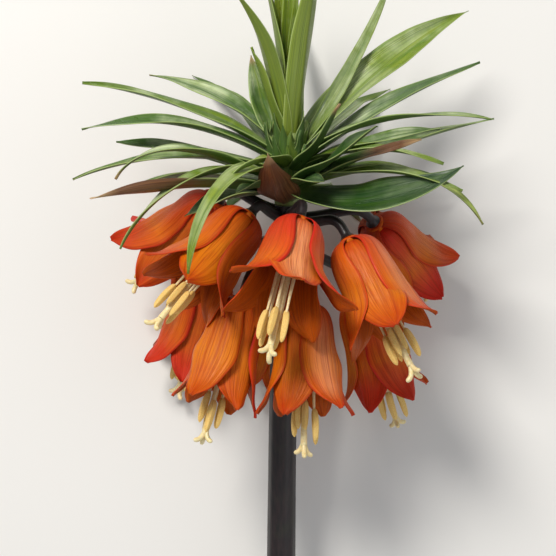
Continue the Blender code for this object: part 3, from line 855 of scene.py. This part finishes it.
def makeBell(name, spec):
    shells = []
    seed = len(name) + spec[0] * 0.013
    wanted = range(0, tepals["profileSteps"] + 1, tepals["rowEvery"])
    clearance = tepals["thickness"] / 2 - tepals["sink"]
    rng = random.Random(name)
    for k in range(6):
        rows = tepalRows(spec, k, tepals["strips"], seed + k * 1.7, wanted, 1.0)
        rows = [[(pressed(m, clearance, tepals["settle"]), n, s, u) for m, n, s, u in row] for row in rows]
        marks = {
            "tint": rng.random(),
            "red": redTepals.get(name, {}).get(k, rng.uniform(*tepals["ordinaryRed"])),
            # "pale" is the share of salmon painted highlight down the tepal's middle.
            "pale": paintedHighlightTepals.get(name, {}).get(k, rng.uniform(*tepals["ordinaryHighlight"])),
        }
        shells.append(bladeShell(rows, tepals["thickness"], tepals["edgeThin"], marks))
    base, axis = bloomFrame(spec)
    centres = [base + axis * (receptacle["depth"] * d) for d, _ in receptacle["outline"]]
    radii = [receptacle["radius"] * r for _, r in receptacle["outline"]]
    shells.append(tubeShell(centres, radii, receptacle["sides"], {"tint": 0.0, "red": 0.4}))
    piece = meshOf("petals_" + name, shells, materials["tepal"])
    pointOutwards(piece)
    stand(piece, "bell_" + name)


def stalkPath(spec):
    # Points along a stalk's middle, each with the stalk's radius there.
    azimuth, baseHeight, reach = spec[:3]
    base, axis = bloomFrame(spec)
    root = stemAxis(baseHeight * plant["stalkFollow"] - plant["stalkDrop"])
    root += heading(azimuth, 0) * (plant["stemRadiusTop"] * plant["stalkOut"])
    end = base - axis * (plant["stalkGap"] + plant["stalkCollar"])
    leave = root + heading(azimuth, plant["stalkRise"] + baseHeight) * (reach * plant["stalkLeave"])
    arrive = end - axis * (reach * plant["stalkArrive"])
    steps = plant["stalkSteps"]
    path = []
    for i in range(steps + 1):
        t = i / steps
        v = 1 - t
        point = root * v**3 + leave * (3 * v * v * t) + arrive * (3 * v * t * t) + end * t**3
        thickness = 1.15 - 0.15 * t + plant["stalkFlare"] * math.exp(-t * 9)
        path.append((point, plant["stalkRadius"] * thickness))
    collar = receptacle["radius"] * plant["collarShare"]
    for t in (0.25, 0.5, 0.75, 1.0):
        radius = plant["stalkRadius"] + (collar - plant["stalkRadius"]) * t**1.5
        path.append((end + axis * (plant["stalkCollar"] * t), radius))
    return path


def stemPath():
    rings = plant["stemRings"]
    path = []
    for i in range(rings + 1):
        share = 1 - i / rings
        swell = plant["stemSwell"] * noise.noise(Vector((share * 14, 0, 5)))
        radius = plant["stemRadiusTop"] + (plant["stemRadiusLow"] - plant["stemRadiusTop"]) * share
        path.append((stemAxis(-plant["stemLength"] * share), radius + swell))
    return path


def makeStem():
    points, edges, thick, ribbed = [], [], [], []
    for number, path in enumerate([stemPath()] + [stalkPath(spec) for spec in blooms.values()]):
        first = len(points)
        edges += [(first + i, first + i + 1) for i in range(len(path) - 1)]
        points += [point for point, _ in path]
        thick += [radius for _, radius in path]
        ribbed += [1.0 if number == 0 else plant["stalkRibs"]] * len(path)
    paths = bpy.data.meshes.new("paths")
    paths.from_pydata(points, edges, [])
    paths.attributes.new("thick", "FLOAT", "POINT").data.foreach_set("value", thick)
    paths.attributes.new("ribbed", "FLOAT", "POINT").data.foreach_set("value", ribbed)
    mesh = grown(pathTree(), ribbing, paths)
    for vertex in mesh.vertices:
        vertex.co = layDown(vertex.co)
    piece = asPiece("stem_and_stalks", mesh)
    pointOutwards(piece)
    stand(piece, "stem")


def makeCrown():
    shells = []
    for n, spec in enumerate(leafTable):
        rows = leafRows(spec, leaves["steps"], leaves["strips"], n * 1.31)
        marks = {"tint": spec[9], "dry": spec[10]}
        shells.append(bladeShell(rows, leaves["thickness"], leaves["edgeThin"], marks))
    rng = random.Random(5)
    for n in range(leaves["youngLeaves"]):
        azimuth = n * leaves["goldenAngle"]
        start = leaves["youngStart"] + n * leaves["youngRise"]
        length, tilt = rng.uniform(*leaves["youngLength"]), rng.uniform(*leaves["youngTilt"])
        width = rng.uniform(*leaves["youngWidth"])
        spec = (azimuth, start, tilt, tilt - leaves["youngBend"], 1.0, length, width, 0, 0)
        rows = leafRows(spec, leaves["youngSteps"], leaves["strips"], n * 0.77)
        out = heading(azimuth, 0) * (leaves["coreRadius"] * leaves["youngOut"])
        rows = [[(m + out, normal, t, u) for m, normal, t, u in row] for row in rows]
        marks = {"tint": rng.uniform(*leaves["youngTint"]), "dry": 0.0}
        shells.append(bladeShell(rows, leaves["thickness"], leaves["edgeThin"], marks))
    centres = [stemAxis(z) for z, _ in leaves["coreOutline"]]
    radii = [leaves["coreRadius"] * share for _, share in leaves["coreOutline"]]
    core = tubeShell(centres, radii, leaves["coreSides"], {"tint": 0.0, "dry": 0.0})
    core["values"] = [(0.5, 1.0, 1.0) for _ in core["values"]]
    shells.append(core)
    piece = meshOf("crown_leaves", shells, materials["leaf"])
    pointOutwards(piece)
    stand(piece, "leaf_crown")


# Stamens and pistils are Geometry Nodes trees: one stamen or stigma lobe, repeated round the axis.
# The stem and its stalks are one more, swept along paths. Their dictionaries hold their inputs.
def newTree(name, sizes, hosted=False):
    tree = bpy.data.node_groups.new(name, "GeometryNodeTree")
    if hosted:
        tree.interface.new_socket("Geometry", in_out="INPUT", socket_type="NodeSocketGeometry")
    for label, value in sizes.items():
        kind = "NodeSocketInt" if isinstance(value, int) else "NodeSocketFloat"
        tree.interface.new_socket(label, in_out="INPUT", socket_type=kind).default_value = value
    tree.interface.new_socket("Mesh", in_out="OUTPUT", socket_type="NodeSocketGeometry")
    return tree, addNode(tree, "NodeGroupInput").outputs


def swept(tree, curve, outline):
    # Newer sweeps take their thickness from a socket of their own.
    node = addNode(tree, "GeometryNodeCurveToMesh")
    sockets = {"Curve": curve, "Profile Curve": outline, "Fill Caps": True}
    if "Scale" in node.inputs:
        sockets["Scale"] = put(tree, "GeometryNodeInputRadius", {})
    for name, source in sockets.items():
        feed(tree, source, node.inputs[name])
    return node.outputs[0]


def dressed(tree, geometry, material):
    return put(tree, "GeometryNodeSetMaterial", {"Geometry": geometry, "Material": material})


def stored(tree, geometry, name, value, domain):
    sockets = {"Geometry": geometry, "Name": name, "Value": value}
    return put(tree, "GeometryNodeStoreNamedAttribute", sockets, data_type="FLOAT", domain=domain)


def namedValue(tree, name):
    return put(tree, "GeometryNodeInputNamedAttribute", {"Name": name}, "Attribute", data_type="FLOAT")


def randomly(tree, low, high, seed):
    sockets = {2: low, 3: high, "Seed": seed}
    return put(tree, "FunctionNodeRandomValue", sockets, 1, data_type="FLOAT")


def joined(tree, parts):
    node = addNode(tree, "GeometryNodeJoinGeometry")
    for part in reversed(parts):
        tree.links.new(part, node.inputs[0])
    return node.outputs[0]


def curveTube(tree, curve, radii, radiusScale, sides, material, lobes=None):
    # A curve thickened by a profile of (share along, radius), smoothly between its points.
    profile = addNode(tree, "ShaderNodeFloatCurve")
    points = profile.mapping.curves[0].points
    while len(points) < len(radii):
        points.new(0.5, 0.5)
    for point, (place, radius) in zip(points, radii):
        point.location = (place, radius)
    profile.mapping.update()
    feed(tree, put(tree, "GeometryNodeSplineParameter", {}, "Factor"), profile.inputs["Value"])
    radius = times(tree, profile.outputs[0], radiusScale)
    thick = put(tree, "GeometryNodeSetCurveRadius", {"Curve": curve, "Radius": radius})
    if lobes:
        star = {"Points": lobes, "Inner Radius": 0.78, "Outer Radius": 1.0}
        outline = put(tree, "GeometryNodeCurveStar", star)
        outline = put(tree, "GeometryNodeCurveSplineType", {0: outline}, spline_type="CATMULL_ROM")
        outline = put(tree, "GeometryNodeResampleCurve", {"Curve": outline, "Count": sides})
    else:
        outline = put(tree, "GeometryNodeCurvePrimitiveCircle", {"Resolution": sides, "Radius": 1.0})
    return dressed(tree, swept(tree, thick, outline), material)


def arcCurve(tree, start, middle, end, resolution):
    # Through points on the plane of x and z.
    sockets = {"Resolution": resolution}
    for name, (x, z) in zip(("Start", "Middle", "End"), (start, middle, end)):
        sockets[name] = vectorOf(tree, x, 0.0, z)
    return put(tree, "GeometryNodeCurveQuadraticBezier", sockets)


def roundTheAxis(tree, geometry, count, radius, uneven, seed, tilts):
    # Copies of a shape on a circle, each turned to face out and varied a little in size.
    ring = put(tree, "GeometryNodeMeshCircle", {"Vertices": count, "Radius": radius})
    split = addNode(tree, "ShaderNodeSeparateXYZ")
    feed(tree, put(tree, "GeometryNodeInputPosition", {}), split.inputs[0])
    angle = maths(tree, "ARCTAN2", split.outputs[1], split.outputs[0])
    turn = vectorOf(tree, 0.0, randomly(tree, *tilts, seed), angle)
    size = randomly(tree, minus(tree, 1.0, uneven), 1.05, seed)
    sockets = {"Points": ring, "Instance": geometry, "Rotation": turn, "Scale": size}
    return put(tree, "GeometryNodeInstanceOnPoints", sockets)


def closeTree(tree, parts, rounded=True):
    real = put(tree, "GeometryNodeRealizeInstances", {0: joined(tree, parts)})
    smoothed = put(tree, "GeometryNodeSetShadeSmooth", {0: real, "Selection": rounded})
    feed(tree, smoothed, addNode(tree, "NodeGroupOutput").inputs[0])


stamens = {
    "Stamens": 6,
    "Foot Radius": 3.6,
    "Top Spread": -0.5,
    "Filament Length": 38.0,
    "Filament Radius": 0.85,
    "Anther Length": 11.0,
    "Anther Radius": 1.5,
    "Unevenness": 0.08,
    "Seed": 1,
}


def stamenTree():
    tree, given = newTree("stamens", stamens)
    length, spread = given["Filament Length"], given["Top Spread"]
    inner = arcCurve(
        tree,
        (0.0, 0.0),
        (times(tree, spread, 0.9), times(tree, length, 0.5)),
        (spread, length),
        18,
    )
    filament = curveTube(
        tree, inner, [(0.0, 1.0), (0.25, 0.8), (0.8, 0.62), (1.0, 0.5)],
        given["Filament Radius"], 12, materials["filament"],
    )
    outer = arcCurve(
        tree,
        (plus(tree, spread, 0.1), minus(tree, length, 1.2)),
        (plus(tree, spread, 0.9), plus(tree, length, 5.0)),
        (plus(tree, spread, 0.4), plus(tree, length, given["Anther Length"])),
        16,
    )
    anther = curveTube(
        tree, outer, [(0.0, 0.35), (0.12, 0.85), (0.35, 1.0), (0.8, 0.82), (0.95, 0.5), (1.0, 0.15)],
        given["Anther Radius"], 24, materials["pollen"], 4,
    )
    copies = roundTheAxis(
        tree, joined(tree, [anther, filament]), given["Stamens"], given["Foot Radius"],
        given["Unevenness"], given["Seed"], (-0.02, 0.04),
    )
    closeTree(tree, [copies])
    return tree


pistil = {
    "Style Length": 52.0,
    "Ovary Radius": 2.3,
    "Lobes": 3,
    "Lobe Length": 5.0,
    "Lobe Radius": 0.95,
    "Unevenness": 0.02,
    "Seed": 1,
}


def pistilTree():
    tree, given = newTree("pistil", pistil)
    length, lobe = given["Style Length"], given["Lobe Length"]
    spine = arcCurve(tree, (0.0, 0.0), (0.5, times(tree, length, 0.5)), (0.0, length), 60)
    core = curveTube(
        tree, spine, [(0.0, 0.80), (0.10, 1.0), (0.18, 0.85), (0.24, 0.50), (0.6, 0.46), (1.0, 0.58)],
        given["Ovary Radius"], 20, materials["style"],
    )
    curled = arcCurve(
        tree,
        (0.0, minus(tree, length, 1.5)),
        (0.9, plus(tree, length, times(tree, lobe, 0.6))),
        (times(tree, lobe, 0.75), plus(tree, length, times(tree, lobe, 0.55))),
        14,
    )
    stigma = curveTube(
        tree, curled, [(0.0, 0.9), (0.5, 1.0), (0.85, 0.95), (1.0, 0.35)],
        given["Lobe Radius"], 14, materials["style"],
    )
    lobes = roundTheAxis(
        tree, stigma, given["Lobes"], 0.3, given["Unevenness"], given["Seed"], (0.0, 0.0)
    )
    closeTree(tree, [core, lobes])
    return tree


ribbing = {
    "Sides": 36,  # round the stem and the stalks
    "Ridges": 11,  # faint ribs along the stem
    "Ridge Height": 0.1,
}


def pathTree():
    # Every path of the host mesh swept by a ribbed circle as thick as the path's own mark says.
    tree, given = newTree("swept paths", ribbing, True)
    curves = put(tree, "GeometryNodeMeshToCurve", {0: given["Geometry"]})
    sockets = {"Curve": curves, "Radius": namedValue(tree, "thick")}
    thick = put(tree, "GeometryNodeSetCurveRadius", sockets)
    circle = {"Resolution": given["Sides"], "Radius": 1.0}
    outline = put(tree, "GeometryNodeCurvePrimitiveCircle", circle)
    share = put(tree, "GeometryNodeSplineParameter", {}, "Factor")
    outline = stored(tree, outline, "turn", share, "POINT")
    angle = times(tree, namedValue(tree, "turn"), 2 * math.pi)
    wave = maths(tree, "COSINE", times(tree, angle, given["Ridges"]))
    height = times(tree, wave, given["Ridge Height"], namedValue(tree, "ribbed"))
    facing = put(tree, "GeometryNodeInputNormal", {})
    offset = put(tree, "ShaderNodeVectorMath", {0: facing, "Scale": height}, operation="SCALE")
    sockets = {"Geometry": swept(tree, thick, outline), "Offset": offset}
    ribbed = put(tree, "GeometryNodeSetPosition", sockets)
    # The many-sided end faces are the cuts.
    corners = put(tree, "GeometryNodeInputMeshFaceNeighbors", {}, "Vertex Count")
    cuts = stored(tree, ribbed, "lower", maths(tree, "GREATER_THAN", corners, 4.5), "FACE")
    rounded = maths(tree, "LESS_THAN", corners, 4.5)
    closeTree(tree, [dressed(tree, cuts, materials["stem"])], rounded)
    return tree


def grown(tree, values, source):
    # The tree's result on a source mesh, as a plain mesh.
    host = inScene("host", source)
    modifier = host.modifiers.new("grow", "NODES")
    modifier.node_group = tree
    for item in tree.interface.items_tree:
        if item.in_out == "INPUT" and item.name in values:
            modifier[item.identifier] = values[item.name]
    evaluated = host.evaluated_get(bpy.context.evaluated_depsgraph_get())
    mesh = bpy.data.meshes.new_from_object(evaluated)
    bpy.data.objects.remove(host)
    return mesh


def growInBloom(tree, name, values, foot, axis, turn):
    # The tree's upright result, moved into its bloom.
    mesh = grown(tree, values, bpy.data.meshes.new("empty"))
    acrossAxis = axis.orthogonal().normalized()
    other = axis.cross(acrossAxis)
    outX = acrossAxis * math.cos(turn) + other * math.sin(turn)
    outY = axis.cross(outX)
    for vertex in mesh.vertices:
        vertex.co = layDown(foot + outX * vertex.co.x + outY * vertex.co.y + axis * vertex.co.z)
    return asPiece(name, mesh)


def makeHeart(name, spec, number):
    base, axis = bloomFrame(spec)
    turn = math.radians(spec[5] + 30)
    for kind, tree, sizes, seed, slotName in (
        ("stamens", stamensGrown, stamens, 3, "pollen_cream"),
        ("pistil", pistilGrown, pistil, 11, "style_cream"),
    ):
        foot = base + axis * (receptacle["depth"] + receptacle[kind + "Gap"])
        values = {**sizes, "Seed": number + seed}
        node = kind + "_" + name
        stand(growInBloom(tree, node + "_grown", values, foot, axis, turn), node)


stamensGrown, pistilGrown = stamenTree(), pistilTree()
for number, (name, spec) in enumerate(blooms.items()):
    makeBell(name, spec)
    makeHeart(name, spec, number)
print("blooms made:", len(blooms))
makeStem()
print("stem made with", len(blooms), "stalks")
makeCrown()
print("crown made with", len(leafTable), "leaves")


# The studio: a pale floor, soft light, and the camera where the photograph was taken from.
studio = {
    "photoSize": 556,  # pixels across
    "mmPerPixel": 0.40,  # at the stem's axis
    "stemPixel": 287,  # the stem's axis, across
    "stalkPixel": 205,  # where the flower stalks leave the stem, down
    "lens": 100.0,
    "sensor": 36.0,
    "floor": (0.80, 0.79, 0.77),
    "floorSpeck": (0.7, 0.69, 0.67),
    "floorRoughness": 0.85,
    "floorSize": 12.0,
    "sky": 0.34,
    "skyColour": (0.95, 0.97, 1.0, 1.0),
    # Each light: its place from the middle of the flower, its size, power and colour.
    "lights": {
        "key": ((-0.45, 0.75, 1.00), 0.42, 18.0, (1.0, 0.97, 0.91)),
        "fill": ((0.95, -0.25, 0.9), 1.1, 2.4, (0.95, 0.97, 1.0)),
        "low": ((0.0, -1.0, 0.45), 0.9, 1.5, (1.0, 0.98, 0.95)),
    },
}


def makeFloor():
    bpy.ops.mesh.primitive_plane_add(size=studio["floorSize"], location=(0, 0, 0))
    floor = bpy.context.object
    floor.name = "studio_floor"
    material, tree, shader = newMaterial("pale floor")
    speck = noiseAt(tree, objectPoint(tree), 3.0, 3.0)
    tone = blend(tree, times(tree, speck, 0.08), studio["floor"], studio["floorSpeck"])
    feed(tree, tone, shader.inputs["Base Color"])
    feed(tree, studio["floorRoughness"], shader.inputs["Roughness"])
    floor.data.materials.append(material)


def addArea(name, place, aim, size, power, colour):
    data = bpy.data.lights.new(name, "AREA")
    data.shape, data.size, data.energy, data.color = "DISK", size, power, colour
    light = inScene(name, data)
    light.location = place
    light.rotation_euler = (aim - place).to_track_quat("-Z", "Y").to_euler()


def makeStudio():
    makeFloor()
    bpy.context.scene.view_settings.view_transform = "Standard"
    heart = layDown(Vector((0, 0, 0)))
    for name, (offset, size, power, colour) in studio["lights"].items():
        addArea(name, heart + Vector(offset), heart, size, power, colour)
    world = bpy.data.worlds.new("soft sky")
    world.use_nodes = True
    background = world.node_tree.nodes["Background"]
    background.inputs["Color"].default_value = studio["skyColour"]
    background.inputs["Strength"].default_value = studio["sky"]
    bpy.context.scene.world = world
    pixel, middle = studio["mmPerPixel"] * mm, studio["photoSize"] / 2
    across = (middle - studio["stemPixel"]) * pixel
    down = (studio["stalkPixel"] - middle) * pixel
    distance = studio["photoSize"] * pixel * studio["lens"] / studio["sensor"]
    camera = inScene("camera", bpy.data.cameras.new("camera"))
    camera.data.lens = studio["lens"]
    camera.data.sensor_width = studio["sensor"]
    camera.location = heart + Vector((across, down, distance))
    bpy.context.scene.camera = camera


makeStudio()
print("studio set")
